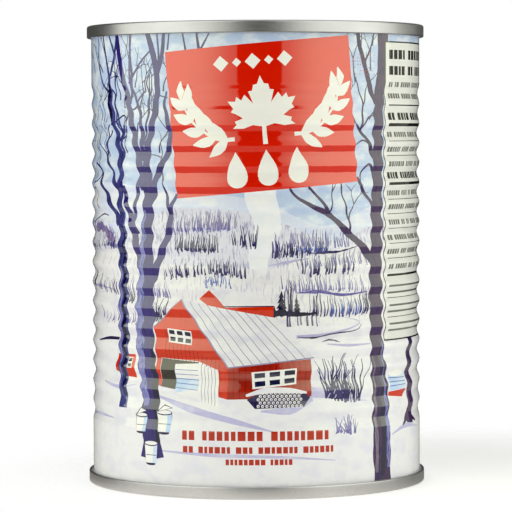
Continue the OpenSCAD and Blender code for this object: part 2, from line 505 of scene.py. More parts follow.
def cabin_and_sled(at):
    """A small cabin far left, and a gathering tank on a red sled at the right."""
    ink("barn", [(-41.6, 30), (-41, 34.4), (-33.8, 34.6), (-33.4, 28.6), (-37, 28.8)], at)
    ink("roof", [(-42, 34.2), (-40, 36), (-34.6, 36.2), (-33.6, 34.4)], at)
    window([(-36.6, 31), (-34.8, 31), (-34.8, 33.6), (-36.6, 33.6)], 1, 2, at)
    ink("twig", limb([(38, 24.4), (42, 23.9), (46.6, 24.6)], [0.2, 0.3, 0.2]), at)
    ink("barn", [(38, 23.6), (44.6, 22.9), (46.8, 24.6), (46.4, 24.9), (38, 24.6)], at)
    ink("ice", [(38.2, 24.8), (45.6, 25), (46.2, 28.6), (38.2, 29)], at)
    lines_across("ice_line", ((38.2, 25), (38.2, 29)), ((45.7, 25.2), (46.2, 28.6)), 3, 0.2, at)
    ink("paper", disc(42, 29, 3.6, 14, 0.24), at)


before = len(art)
for centre in picture_centres:
    cabin_and_sled(centre)
    sugar_house(centre)
    wood_pile(centre)
print(f"{len(art) - before} shapes in the buildings and stores")

# %% [markdown]
# # 9. Maples
# The near maples frame the picture. Their trunks and boughs are limbs through a few
# points, rough at the sides. Small twigs could be drawn one at a time, but a rule is
# quicker and looks more alive: each twig forks, and each fork is shorter and thinner.

# %% Trunks, boughs and twigs
left_tree = [
    ([(-38.2, 21), (-38.4, 30), (-38, 38), (-38.3, 46), (-38, 54), (-38.7, 60), (-38.4, 66), (-39.6, 73),
      (-39.1, 80), (-39.9, 86), (-41.5, 90.5), (-43.6, 97), (-44, 103.5)],
     [3.4, 3.4, 4.0, 3.9, 3.6, 3.4, 2.6, 2.2, 2.1, 2.2, 1.7, 2.0, 1.2]),
    ([(-44, 103), (-45.8, 108), (-47.8, 114)], [1.0, 0.6]),
    ([(-44.2, 98.5), (-48, 101.5), (-51, 106.5), (-54.5, 111)], [1.1, 0.7, 0.5, 0.25]),
    ([(-43.4, 103), (-41.2, 108.2), (-40, 114)], [1.0, 0.7]),
    ([(-41, 108), (-43, 111.5), (-44.6, 114)], [0.8, 0.5]),
    ([(-39.4, 66.5), (-42.5, 70), (-46.5, 73.5), (-49.8, 77), (-50, 80), (-53, 81.5)],
     [2.0, 1.8, 1.5, 1.2, 0.5]),
    ([(-39.8, 75), (-42.6, 77.5), (-43.2, 80), (-45.8, 82.5), (-50, 86.3)], [1.6, 1.2, 0.9, 0.4]),
    ([(-38.8, 80), (-37.9, 84), (-38.2, 88), (-36.3, 92.4)], [1.4, 1.0, 0.5]),
    ([(-39.6, 86), (-38.4, 90), (-40.8, 95), (-41, 104)], [1.0, 0.6, 0.4]),
    ([(-43.4, 89.6), (-45.8, 86), (-45, 83)], [0.6, 0.5]),
    ([(-57, 66.4), (-50, 68.6), (-46, 68.4)], [0.3, 0.4, 0.2]),
    ([(-43.6, 100), (-41.4, 98), (-40.8, 93), (-38.8, 89.4), (-37.6, 87.6), (-36.4, 90.4), (-35.6, 94)],
     [0.6, 0.7, 0.3]),
    ([(-43.2, 91), (-41, 91.6), (-38, 93.2), (-36.6, 92.6)], [0.4, 0.5, 0.3]),
    ([(-37.4, 76), (-36.6, 72), (-34.6, 68.4), (-32.6, 64)], [0.8, 1.2, 1.6]),
    ([(-47.6, 104), (-50.6, 107.6), (-51, 113)], [0.5, 0.3]),
    ([(-49.6, 79.6), (-52.6, 77.2), (-57, 76.4)], [0.5, 0.3]),
    ([(-46.4, 83.4), (-45, 86.4), (-45.6, 89.4), (-43.8, 91)], [0.8, 0.6, 0.4]),
]
middle_tree = [
    ([(-27.6, 9.6), (-28, 16), (-28.4, 22), (-28.6, 28), (-30, 34), (-30, 42), (-29.9, 50), (-29.6, 56),
      (-29.3, 64), (-28.8, 72), (-29.2, 79)],
     [6.4, 5.2, 5.0, 5.6, 6.0, 5.6, 5.2, 4.6, 3.8, 3.2, 3.2]),
    ([(-29.9, 75), (-32, 83), (-34, 90), (-35.4, 96), (-38, 104), (-39.5, 110), (-40.2, 114)],
     [2.4, 2.1, 1.8, 1.4]),
    ([(-29, 76), (-29, 84), (-27.6, 90), (-26, 96), (-25.6, 103), (-27, 109), (-28.8, 114)],
     [2.4, 1.9, 1.7, 1.6]),
    ([(-25.6, 103), (-24, 108), (-23.4, 114)], [1.4, 0.9]),
    ([(-28.6, 71), (-27, 74), (-26.2, 78), (-23.8, 82), (-22, 86), (-22.4, 91), (-23.4, 95), (-23, 99)],
     [2.2, 1.9, 1.6, 1.2, 0.5]),
    ([(-29.4, 50), (-27, 54.6), (-24.5, 60), (-22.4, 65), (-21.9, 70), (-20.2, 74)], [3.4, 2.2, 1.7, 0.8]),
    ([(-22, 69), (-23.2, 74), (-24.2, 77)], [1.1, 0.3]),
    ([(-38.8, 77), (-37, 72.6), (-35.4, 68.6), (-33.4, 62.6), (-31, 56)], [1.2, 1.8, 2.2, 2.6]),
    ([(-33.8, 67), (-32.8, 73), (-31.2, 79)], [1.2, 1.4]),
    ([(-30.6, 82), (-31, 89), (-31.4, 95), (-34.8, 102), (-34.2, 114)], [1.1, 0.8, 0.6]),
    ([(-35, 101), (-31, 106), (-27.5, 109)], [0.7, 0.4]),
    ([(-30, 86), (-28.6, 94), (-27.8, 103)], [0.7, 0.3]),
    ([(-34.6, 96), (-34.2, 100), (-34, 103.6), (-34.6, 108), (-34.6, 114)], [1.0, 0.9, 0.7]),
    ([(-30.6, 84), (-30.6, 89), (-31.2, 93), (-32, 96), (-30.6, 98.4), (-29.4, 99)], [1.3, 1.0, 0.6, 0.3]),
    ([(-35.6, 94.4), (-33.2, 94.8), (-31.6, 95.8)], [0.4, 0.5]),
    ([(-29.6, 89), (-28.6, 93), (-28, 97), (-28.8, 101), (-27.4, 104)], [0.7, 0.6, 0.3]),
    ([(-25, 98), (-22.6, 97.4)], [0.3, 0.3]),
    ([(-25.4, 104), (-25, 108), (-25.6, 114)], [0.7, 0.5]),
    ([(-22.4, 109), (-21.8, 114)], [0.5, 0.4]),
    ([(-17.2, 108), (-18.4, 114)], [0.6, 0.4]),
    ([(-13.8, 108), (-14.6, 114)], [0.9, 0.5]),
    ([(-13.7, 108.6), (-11, 113.4)], [0.6, 0.3]),
]
right_tree = [
    ([(35.2, 0), (35, 10), (34.8, 20), (34.4, 28), (33.4, 36), (33.2, 46), (33, 56), (33.4, 64), (33.6, 72),
      (33.9, 82), (34, 90), (34.4, 98), (35.4, 106), (35.6, 115)],
     [6.6, 6.5, 6.0, 5.8, 4.6, 4.3, 4.2, 4.0, 3.9, 3.8, 3.6, 3.6, 4.0, 4.2]),
    ([(33, 55), (31, 58.2), (27, 62), (22.5, 65.5), (18.8, 68.8), (14, 71), (10.5, 73), (8.4, 75)],
     [2.6, 1.8, 1.2, 0.4]),
    ([(18.8, 69), (16.3, 72.5), (13, 75.8)], [1.0, 0.5]),
    ([(24.6, 63.6), (24.2, 67.5), (23, 71.5), (21.8, 76)], [0.7, 0.3]),
    ([(32.4, 69), (30.6, 72.5), (28, 75.5), (27, 78)], [1.2, 0.6]),
    ([(33, 96), (30.4, 101), (28.4, 107), (27.2, 110.5), (26.8, 114)], [1.7, 1.3, 1.1]),
    ([(29, 106), (31, 109.5), (32, 113)], [0.6, 0.3]),
    ([(32.6, 82.4), (30, 87), (27.9, 89.2), (26.2, 91)], [1.3, 0.9, 0.4]),
    ([(28, 89.3), (28.6, 94), (27.8, 98), (25.6, 103)], [0.7, 0.25]),
    ([(28.3, 90), (30.5, 92.5), (33, 93)], [0.5, 0.2]),
    ([(31.2, 85.6), (28.5, 86.9), (26, 85.8)], [0.6, 0.25]),
    ([(32.4, 79), (30.5, 81), (28.5, 79.5), (27.5, 76.5)], [0.9, 0.3]),
]
bark_lights = [
    ("bark_lit", [(-29.4, 22), (-31, 30), (-32, 38), (-32, 46), (-31.4, 54), (-30.8, 62), (-30, 70)],
     [1.6, 2.4, 2.2, 2.0, 1.6, 0.3]),
    ("trunk_dark", [(-25.6, 11), (-26.2, 20), (-26.6, 27), (-27.6, 34), (-27.4, 40)], [1.6, 2.2, 1.4, 0.3]),
    ("bark_lit", [(-39.6, 26), (-39.4, 36), (-39.5, 46), (-39.1, 56)], [0.4, 1.0, 1.2, 0.3]),
    ("trunk_dark", [(-38, 24), (-37.7, 36), (-37.9, 48), (-37.8, 58), (-38.2, 66)], [0.8, 1.2, 0.9, 0.3]),
    ("trunk_dark", [(-43.8, 101), (-44.6, 98), (-44, 94), (-42, 90)], [0.9, 1.8, 1.2, 0.3]),
    ("trunk_light", [(33, 5), (33, 14), (32.6, 24), (32.2, 34)], [0.9, 1.2, 0.8, 0.2]),
    ("bark_lit", [(37.6, 6), (37.4, 13), (37, 20), (35.9, 28), (35, 38)], [1.0, 1.4, 0.9, 0.3]),
    ("trunk_dark", [(35.4, 4), (35.6, 14), (35.4, 26), (34.4, 38)], [1.4, 1.8, 1.2, 0.3]),
]
edge_tree = [
    ([(49, 16), (49.6, 23), (48.4, 29), (49.4, 36), (48.8, 44), (50, 56), (49, 70)], [4.4, 3.2, 2.6, 1.8]),
    ([(44.4, 15.8), (47, 17.6), (49, 18.6)], [0.4, 1.6, 2.2]),
    ([(53.4, 16.2), (51, 17.4), (49.4, 18.6)], [0.4, 1.4, 2.2]),
]
trees = [(left_tree, "trunk_blue"), (middle_tree, "trunk")]
trees += [(right_tree, "trunk_brown"), (edge_tree, "trunk_brown")]
twig_starts = [
    (-48, 101.5, -30), (-50, 80, -20), (-46, 82.5, -10), (-36.4, 92, 20), (-41, 100, 10), (-31, 95, 16),
    (-28, 98, 24), (-34.6, 104, -12), (-24, 99, 8), (-50, 86, -40), (-54, 104, -30), (-24, 77, -26),
    (-20.6, 73, 22), (-36.8, 95, -14), (-47, 90, -20), (-46, 108, -16), (9, 74.6, -40), (13.4, 75, -10),
    (22, 75, -6), (24.2, 67, 20), (27.4, 76, -20), (26, 91, -24), (28.4, 95, 24), (26, 101, -10),
    (31.6, 110, 20), (28.4, 107, -26), (30.4, 92, 36), (19, 69.6, 14), (-52, 70, -50), (-56, 92, -20),
    (50, 60, 10), (49.4, 50, -30), (49.2, 42, 34), (-52, 84, -6), (-54.6, 78, 8), (-49, 92, 4),
    (-47, 97, 30), (-36.6, 84, -16), (-33, 88, 12), (-25.4, 84, 8), (-26.6, 90, -20), (-33, 100, 20),
    (-29.4, 99, 12), (-38.6, 97, -8), (31, 104, -8),
]


def twigs(s, z, heading, long, thick, forks, rng, at):
    """One twig that bends a little, and then two shorter ones at its tip, until forks is 0."""
    a = np.radians(heading + rng.uniform(-14, 14))
    middle = (s + np.sin(a) * long / 2, z + np.cos(a) * long / 2)
    b = a + np.radians(rng.uniform(-18, 18))
    tip = (middle[0] + np.sin(b) * long / 2, middle[1] + np.cos(b) * long / 2)
    ink("twig", limb([(s, z), middle, tip], [thick, thick * 0.6], steps=2), at)
    if forks:
        for side in (-1, 1):
            turn = heading + side * rng.uniform(18, 40)
            twigs(*tip, turn, long * rng.uniform(0.55, 0.8), thick * 0.65, forks - 1, rng, at)


def maples(at):
    """Twigs first, so that the boughs lie over their feet, then each tree."""
    rng = np.random.default_rng(21)
    for s, z, heading in twig_starts:
        twigs(s, z, heading, rng.uniform(4.2, 6.4), 0.46, 2, rng, at)
    for tree, bark in trees:
        for k, (points, widths) in enumerate(tree):
            ink(bark, limb(points, widths, 0.09, k), at)
    for k, (name, points, widths) in enumerate(bark_lights):
        ink(name, limb(points, widths, 0.45, 50 + k), at)
    ink("trunk", [(-31.4, 9.4), (-27.6, 8.8), (-24, 9.6), (-25, 13), (-30.4, 13)], at)
    pail(-24, 15.4, 4.4, 5.2, at)
    pail(-31.4, 15.2, 3.8, 4.4, at)
    pail(-28, 7.6, 4.0, 5.2, at, False)


before = len(art)
for centre in picture_centres:
    maples(centre)
print(f"{len(art) - before} limbs, twigs and pails")

# %% [markdown]
# # 10. The red label
# A tilted red panel carries the name on a tin like this. This tin names nobody, so the
# panel gets ornaments in the same three rows: a row of lozenges, a leaf between two leafy
# sprays, and three drops of syrup. The leaf is half an outline and its mirror image.

# %% Label, leaf, sprays and drops
label_centre = (1.9, 92.7)
label_size = (47.2, 35.7)
label_tilt = 4.85


def on_label(name, outline, at):
    """Lays an outline on the label, in the label's own tilted directions."""
    ink(name, turned(outline, label_tilt, label_centre), at)


def leaf(s, z, tall):
    """A leaf with five toothed lobes and a stalk: the right half, then the left."""
    right = [
        (0, 1), (0.05, 0.88), (0.11, 0.87), (0.13, 0.79), (0.19, 0.78), (0.13, 0.6), (0.25, 0.74),
        (0.3, 0.66), (0.37, 0.72), (0.39, 0.65), (0.5, 0.66), (0.43, 0.55), (0.47, 0.5), (0.4, 0.47),
        (0.3, 0.4), (0.42, 0.36), (0.4, 0.31), (0.46, 0.26), (0.3, 0.25), (0.16, 0.29), (0.03, 0.26),
        (0.035, 0),
    ]
    right = np.array(right)
    left = right[::-1] * (-1, 1)
    return np.concatenate([right, left[:-1]]) * tall + (s, z)


def drop(s, z, tall):
    """A drop: a point above a round foot; its width grows as a sine squeezed to the tip."""
    a = np.linspace(0, 2 * np.pi, 22, endpoint=False)
    across = tall * 0.4 * np.sin(a) * np.sin(a / 2) ** 1.3
    return np.stack([s + across, z + tall * (0.5 + 0.5 * np.cos(a))], -1)


def spray(side, at):
    """A leafy stem: pairs of lens-shaped leaflets, set at 50 degrees, that shorten outwards."""
    stem = smooth([(7.4, -4.8), (11, -4.6), (15, -2.4), (18.4, 1.4), (20.2, 5.8)], 4)
    on_label("label_white", limb(stem[::4] * (side, 1), [1.0, 0.7, 0.4], steps=4), at)
    for k in range(2, len(stem) - 1, 3):
        ahead = stem[k + 1] - stem[k - 1]
        bearing = np.arctan2(ahead[1], ahead[0])
        long = 7.6 - 0.22 * k
        for turn in (0.85, -0.85):
            heading = np.array([np.cos(bearing + turn), np.sin(bearing + turn)])
            reach = heading * long * (1 if turn > 0 else 0.7)
            bent = stem[k] + reach * 0.5 + ahead * 0.3
            leaflet = np.array([stem[k], bent, stem[k] + reach + ahead * 0.9])
            on_label("label_white", limb(leaflet * (side, 1), [0.5, 2.5, 2.3, 0.2], steps=4), at)
    tip = np.array([stem[-1], stem[-1] + (0.2, 2.2), stem[-1] + (-0.4, 4.6)])
    on_label("label_white", limb(tip * (side, 1), [0.4, 2.2, 0.2], steps=4), at)


def label(at):
    """The panel, then its three rows of white ornament."""
    w, h = label_size
    on_label("label_red", box(-w / 2, -h / 2, w / 2, h / 2), at)
    for k in range(5):
        on_label("label_white", disc((k - 2) * 3.9 - 1.4, 13.6, 1.1 if k % 2 else 1.9, 4), at)
    on_label("label_white", leaf(0, -6.6, 16.6), at)
    for side in (-1, 1):
        spray(side, at)
    for k in (-1, 0, 1):
        on_label("label_white", drop(k * 7.6, -16.7, 8.8), at)


before = len(art)
for centre in picture_centres:
    label(centre)
print(f"{len(art) - before} shapes on the labels")

# %% [markdown]
# # 11. The data table and the small print
# A food tin has a ruled table at its side and a few lines of print below the picture.
# Here no word can be read: each letter is a plain block of the right height, and a line
# is a row of blocks in groups, with random widths from a fixed seed.


# %% Tables and blocks
def words(name, left, right, z, tall, seed, longest=7):
    """A line of print that can't be read: blocks as wide as letters, in words of random length.

    A block is 0.45 to 0.85 of its height wide. Blocks stand 0.22 of it apart, and words
    of 2 to longest blocks stand 0.9 of it apart.
    """
    rng = np.random.default_rng(seed)
    wide = tall * rng.uniform(0.45, 0.85, 400)
    in_word = rng.integers(2, longest + 1, 200).cumsum()
    after = tall * np.where(np.isin(np.arange(400), in_word - 1), 0.9, 0.22)
    start = left + np.concatenate([[0], (wide + after)[:-1].cumsum()])
    for a, b in zip(start[start + wide < right], wide):
        ink(name, box(a, z, a + b, z + tall))


def data_table(left, right):
    """A pale panel with a frame, heavy and light rules, and lines of bars between."""
    low, high, rim, inset, bar_column = 37.3, 111.3, 0.35, 1.7, 12
    ink("ink_black", box(left, low, right, high))
    ink("table", box(left + rim, low + rim, right - rim, high - rim))
    inner, outer = left + inset, right - inset
    for z, thick in ((95.4, 0.3), (90.3, 0.8), (75.8, 0.7), (53.2, 0.55)):
        ink("ink_black", box(inner, z, outer, z + thick))
    for z in (86.6, 83.0, 72.2, 68.6, 65.0, 61.3, 57.6, 47.8, 43.0):
        ink("rule", box(inner, z, outer, z + 0.16))
    for k, (z, tall) in enumerate(((106.9, 2.3), (103.0, 2.2), (91.9, 1.8), (77.4, 1.6))):
        words("ink_black", inner, outer - bar_column + 3 * (k < 2), z, tall, 40 + k, 9)
    fine_tall = 1.25
    fine = (100.0, 97.2, 87.7, 84.0, 80.4, 73.2, 69.8, 66.0, 62.2, 58.7, 55.0)
    for k, z in enumerate(fine):
        words("ink_grey", inner, outer - bar_column - 2 * (k % 3), z, fine_tall, 60 + k)
        ink("ink_grey", box(outer - 3, z, outer, z + fine_tall))
    for k, z in enumerate((50.6, 48.9, 45.8, 44.2, 41.2, 39.6)):
        ink("ink_grey", box(inner, z, outer - 1.5 * (k % 2), z + 0.5))


def date_code(left, right, low):
    """Seven rows of short dashes, as a jet printer leaves them; about half are missing."""
    step, dash, thick = 0.78, 0.42, 0.17
    rng = np.random.default_rng(31)
    for row in range(7):
        starts = np.arange(left, right, step) + 0.2 * (row % 2)
        for s in starts[rng.random(len(starts)) < 0.55]:
            ink("small_print", box(s, low + step * row, s + dash, low + step * row + thick))


before = len(art)
for at in (0.0, -girth / 2):
    date_code(24.9 + at, 32.6 + at, 103)
table_left = 36.3
data_table(table_left, 80.0)
data_table(table_left - girth / 2, -half - 2.0)
small_lines = ((-18.8, 20.2, 14.2, 2.3), (-18.6, 21, 11.1, 1.6), (-7.6, 9.8, 8.3, 1.4))
for at in (0.0, -girth / 2):
    for k, (left, right, z, tall) in enumerate(small_lines):
        words("small_print", left + at, right + at, z, tall, 20 + k, 9)
print(f"{len(art) - before} shapes in the tables and small print")

# %% [markdown]
# # 12. From outlines to faces
# Ink edges could be a picture stretched over the tin, but then they blur close up. Here
# the mesh itself is cut along them. A constrained triangulation keeps every outline as
# edges, together with a grid fine enough to bend round the tin and over its beads. Each
# triangle then takes the last ink that was laid over its middle.

# %% Cut the sheet along every outline
bead_rows = band_bottom + bead_pitch / bead_segments * np.arange(bead_count * bead_segments + 1)
plain_rows = [np.linspace(wall_bottom, band_bottom, 7), np.linspace(band_top, wall_top, 7)]
rows = np.unique(np.concatenate([bead_rows, *plain_rows]).round(6))
grid_s = sheet_left + column * np.arange(columns + 1)
index = np.arange(len(rows) * (columns + 1)).reshape(len(rows), -1)
points = [np.stack(np.meshgrid(grid_s, rows), -1).reshape(-1, 2)]
edges = [
    np.stack([index[:, :-1].ravel(), index[:, 1:].ravel()], -1),
    np.stack([index[:-1].ravel(), index[1:].ravel()], -1),
]
offset = index.size
for _, outline in art:
    ring = offset + np.arange(len(outline))
    points.append(outline)
    edges.append(np.stack([ring, np.roll(ring, -1)], -1))
    offset += len(outline)
flat, _, triangles, *_ = delaunay_2d_cdt(
    np.concatenate(points).tolist(), np.concatenate(edges).tolist(), [], 1, 1e-4, False
)
flat, triangles = np.array(flat), np.array(triangles)
print(f"{len(art)} outlines, {len(flat)} points, {len(triangles)} triangles")

# %% Give each triangle the ink on top


def covers(outline, spots):
    """Which spots an outline goes round: edges that pass on the left, up less down."""
    a, b = outline, np.roll(outline, -1, 0)
    x, y = spots[:, 0, None], spots[:, 1, None]
    side = (b[:, 0] - a[:, 0]) * (y - a[:, 1]) - (x - a[:, 0]) * (b[:, 1] - a[:, 1])
    up = (a[:, 1] <= y) & (b[:, 1] > y) & (side > 0)
    down = (a[:, 1] > y) & (b[:, 1] <= y) & (side < 0)
    return up.sum(1) != down.sum(1)


middle = flat[triangles].mean(1)
by_height = np.argsort(middle[:, 1])
heights = middle[by_height, 1]
ink_names = sorted({name for name, _ in art})
face_ink = np.full(len(triangles), ink_names.index("snow"))
for name, outline in art:
    low, high = outline.min(0), outline.max(0)
    near_it = by_height[np.searchsorted(heights, low[1]) : np.searchsorted(heights, high[1])]
    near_it = near_it[(middle[near_it, 0] > low[0]) & (middle[near_it, 0] < high[0])]
    face_ink[near_it[covers(outline, middle[near_it])]] = ink_names.index(name)
print(f"{len(ink_names)} inks: {', '.join(ink_names)}")

# %% [markdown]
# # 13. The inks
# Each ink is two colours and three amounts. The second colour shows in soft patches, as
# a wash does, or in upright streaks, as dry brushwork does. The last amount is how clear
# the ink is: a clear ink shines twice, from its own face and from the steel beneath it,
# while a body colour such as white hides the steel.

# %% Ink recipes
inks = {
    "sky": ((180, 197, 229), (220, 227, 238), 0.85, 0.1, 0.1),
    "far_snow": ((208, 215, 237), (232, 233, 237), 0.7, 0.2, 0.1),
    "slope": ((220, 221, 234), (142, 136, 182), 0.1, 0.7, 0.1),
    "steam": ((231, 234, 242), (240, 240, 241), 0.8, 0.0, 0.1),
    "meadow": ((230, 229, 233), (160, 154, 198), 0.15, 0.45, 0.1),
    "field": ((228, 227, 233), (186, 182, 216), 0.35, 0.2, 0.1),
    "snow": ((230, 230, 235), (203, 202, 231), 0.35, 0.06, 0.1),
    "shade": ((184, 182, 220), (218, 217, 232), 0.5, 0.1, 0.2),
    "lane": ((172, 168, 208), (214, 212, 228), 0.5, 0.2, 0.2),
    "hedge": ((122, 104, 150), (176, 166, 196), 0.6, 0.8, 0.4),
    "far_wood": ((96, 90, 156), (146, 142, 190), 0.5, 0.4, 0.5),
    "wood": ((40, 32, 88), (88, 80, 136), 0.4, 0.4, 0.7),
    "fir": ((18, 14, 44), (50, 44, 92), 0.4, 0.5, 0.8),
    "barn": ((208, 42, 6), (170, 28, 6), 0.35, 0.35, 0.85),
    "barn_shade": ((168, 32, 12), (120, 20, 16), 0.4, 0.4, 0.75),
    "board": ((118, 12, 14), (86, 10, 18), 0.3, 0.3, 0.7),
    "roof": ((228, 228, 232), (204, 204, 222), 0.6, 0.1, 0.1),
    "roof_seam": ((132, 124, 164), (180, 176, 206), 0.5, 0.1, 0.3),
    "doorway": ((50, 44, 42), (24, 20, 28), 0.7, 0.3, 0.8),
    "pane": ((14, 14, 54), (46, 54, 98), 0.6, 0.0, 0.9),
    "paper": ((238, 238, 236), (218, 220, 232), 0.4, 0.1, 0.1),
    "ice": ((182, 206, 240), (222, 232, 244), 0.6, 0.1, 0.1),
    "ice_line": ((84, 104, 166), (130, 144, 192), 0.4, 0.0, 0.3),
    "log_heart": ((128, 106, 140), (84, 64, 104), 0.5, 0.0, 0.4),
    "twig": ((40, 32, 76), (82, 74, 112), 0.5, 0.3, 0.7),
    "trunk": ((52, 36, 118), (14, 10, 74), 0.3, 0.9, 0.75),
    "trunk_brown": ((72, 50, 88), (36, 26, 88), 0.3, 0.9, 0.35),
    "trunk_blue": ((70, 72, 138), (14, 14, 66), 0.5, 0.8, 0.85),
    "trunk_dark": ((20, 16, 60), (10, 8, 44), 0.4, 0.7, 0.85),
    "bark_lit": ((132, 132, 190), (44, 56, 138), 0.35, 1.0, 0.5),
    "brush": ((92, 112, 190), (50, 60, 130), 0.5, 0.4, 0.5),
    "trunk_light": ((124, 112, 128), (64, 54, 92), 0.4, 0.8, 0.6),
    "label_red": ((217, 26, 0), (208, 18, 0), 0.3, 0.0, 1.0),
    "label_white": ((236, 236, 233), (231, 231, 229), 0.2, 0.0, 0.1),
    "ink_black": ((18, 20, 22), (28, 30, 32), 0.3, 0.0, 0.6),
    "ink_grey": ((104, 106, 103), (122, 124, 120), 0.3, 0.0, 0.3),
    "rule": ((50, 52, 52), (62, 64, 64), 0.3, 0.0, 0.3),
    "table": ((221, 221, 221), (214, 215, 213), 0.4, 0.0, 0.1),
    "small_print": ((178, 40, 22), (160, 30, 18), 0.3, 0.0, 0.7),
}


def linear(colour):
    """Display values out of 255 as amounts of light: the sRGB curve, undone."""
    c = np.asarray(colour, float) / 255
    return np.where(c <= 0.04045, c / 12.92, ((c + 0.055) / 1.055) ** 2.4)


recipe = np.array([[*linear(inks[n][0]), *linear(inks[n][1]), *inks[n][2:]] for n in ink_names])
print(f"{len(inks)} ink recipes, {len(recipe)} used")

# %% [markdown]
# # 14. Rolling and welding the wall
# The flat faces are now rolled into a tube and its side edges welded. A lip at each end
# goes in under the seams and closes the piece, so that it is a solid with no open edge.
# Points less than a ten-thousandth of a millimetre apart become one, and a triangle
# between two of them has shrunk to a line, so it is left out.
# The normals come from the bead formula, and not from the faces, so that the many
# slivers along the inks don't disturb the shine.


# %% Printed wall
def piece(name, places, faces):
    """A smooth mesh object, with places in millimetres and faces as lists of corners."""
    mesh = bpy.data.meshes.new(name)
    mesh.from_pydata((np.asarray(places) * MM).tolist(), [], faces)
    mesh.polygons.foreach_set("use_smooth", np.ones(len(mesh.polygons), bool))
    made = bpy.data.objects.new(name, mesh)
    bpy.context.scene.collection.objects.link(made)
    return made


lip_step, lip_depth = 0.1, 6.0


def lip(edge_z, turn_in_z):
    """Three rings that close the tube at one end: a step in, a turn inwards, and the axis."""
    edge = np.flatnonzero(np.isclose(flat[:, 1], edge_z, atol=1e-4))
    edge = edge[np.argsort(flat[edge, 0])]
    r = np.array([wall_r - lip_step, wall_r - lip_step, 0.0])[:, None]
    z = np.array([edge_z, turn_in_z, turn_in_z])[:, None] * np.ones(len(edge))
    angle = flat[edge, 0] / wall_r
    return edge, np.stack([r * np.sin(angle), -r * np.cos(angle), z], -1)


places = [on_wall(flat[:, 0], flat[:, 1])]
sheet_place = [flat]
faces = [(triangles, np.ones(len(triangles), bool))]
start = len(flat)
for edge_z, turn_in_z, outward in ((wall_bottom, lip_depth, -1), (wall_top, can_h - lip_depth, 1)):
    edge, rings = lip(edge_z, turn_in_z)
    n = len(edge)
    ids = np.concatenate([edge, start + np.arange(3 * n)]).reshape(4, n)
    a, b, c, d = ids[:-1, :-1], ids[:-1, 1:], ids[1:, 1:], ids[1:, :-1]
    halves = [np.stack([a, b, c], -1).reshape(-1, 3), np.stack([a, c, d], -1)[:-1].reshape(-1, 3)]
    if outward < 0:
        halves = [h[:, ::-1] for h in halves]
    faces += [(h, np.zeros(len(h), bool)) for h in halves]
    places.append(rings.reshape(-1, 3))
    gap, edge_s = outward * np.array([0.3, 0.9, 1.4])[:, None], flat[edge, 0]
    sheet_place.append(np.stack([edge_s + 0 * gap, edge_z + gap + 0 * edge_s], -1).reshape(-1, 2))
    start += 3 * n
places, sheet_place = np.concatenate(places), np.concatenate(sheet_place)
corners = np.concatenate([f for f, _ in faces])
printed = np.concatenate([p for _, p in faces])

_, first, same = np.unique(places.round(4), axis=0, return_index=True, return_inverse=True)
welded = same.reshape(-1)[corners]
whole = (welded != np.roll(welded, 1, 1)).all(1)
printed_ink = face_ink[whole[: len(triangles)]]
corners, printed = corners[whole], printed[whole]
printed_wall = piece("printed_wall", places[first], welded[whole].tolist())
wall_mesh = printed_wall.data
print(f"printed wall: {len(first)} points, {len(corners)} triangles")

# %% Normals, ink and sheet places on the wall
face_normal = np.empty(len(corners) * 3)
wall_mesh.polygons.foreach_get("normal", face_normal)
corner_place = sheet_place[corners]
corner_normal = wall_normal(corner_place[..., 0], corner_place[..., 1])
corner_normal = np.where(printed[:, None, None], corner_normal, face_normal.reshape(-1, 1, 3))
wall_mesh.normals_split_custom_set(corner_normal.reshape(-1, 3).tolist())

wall_recipe = np.full((len(corners), recipe.shape[1]), 0.5)
wall_recipe[printed] = recipe[printed_ink]
wall_recipe[~printed, 6:] = 0
stored = (("ink", "FLOAT_COLOR", 0), ("wash", "FLOAT_COLOR", 3), ("amounts", "FLOAT_VECTOR", 6))
for name, kind, first_value in stored:
    values = wall_recipe[:, first_value : first_value + 3]
    if kind == "FLOAT_COLOR":
        values = np.concatenate([values, np.ones((len(values), 1))], 1)
    layer = wall_mesh.attributes.new(name, kind, "FACE")
    layer.data.foreach_set("vector" if kind == "FLOAT_VECTOR" else "color", values.ravel())

sheet_unit = 100.0
sheet_map = wall_mesh.uv_layers.new(name="sheet")
sheet_map.uv.foreach_set("vector", (corner_place / sheet_unit).ravel())
second_face = corner_place[..., 0].mean(1)[:, None] > sheet_left + girth / 2
bake_u = (corner_place[..., 0] - sheet_left - second_face * girth / 2) / (girth / 2)
bake_v = (corner_place[..., 1] - wall_bottom + 2) / (wall_top - wall_bottom + 4)
bake_place = [0.004 + 0.992 * bake_u, 0.003 + 0.497 * (second_face + 0.99 * bake_v)]
bake_map = wall_mesh.uv_layers.new(name="OFBake")
bake_map.uv.foreach_set("vector", np.stack(bake_place, -1).ravel())
print("wall carries its inks, its normals and its place on the sheet")

# %% [markdown]
# # 15. Patterns that several finishes share
# Three things happen to more than one finish, so each is a node group with named inputs.
# `brushwork` mottles an ink, `scuffs` are the hair scratches and rubbed patches of
# handling, and `rolling_grain` is the fine straight grain that a mill leaves in steel.


# %% Helpers for node groups
def new_group(name, inputs, outputs):
    """A shader node group with the named sockets, and its inner input and output nodes."""
    made = bpy.data.node_groups.new(name, "ShaderNodeTree")
    for label_text, kind, value in inputs:
        socket = made.interface.new_socket(label_text, in_out="INPUT", socket_type=kind)
        if value is not None:
            socket.default_value = value
    for label_text, kind in outputs:
        made.interface.new_socket(label_text, in_out="OUTPUT", socket_type=kind)
    return made, made.nodes.new("NodeGroupInput"), made.nodes.new("NodeGroupOutput")


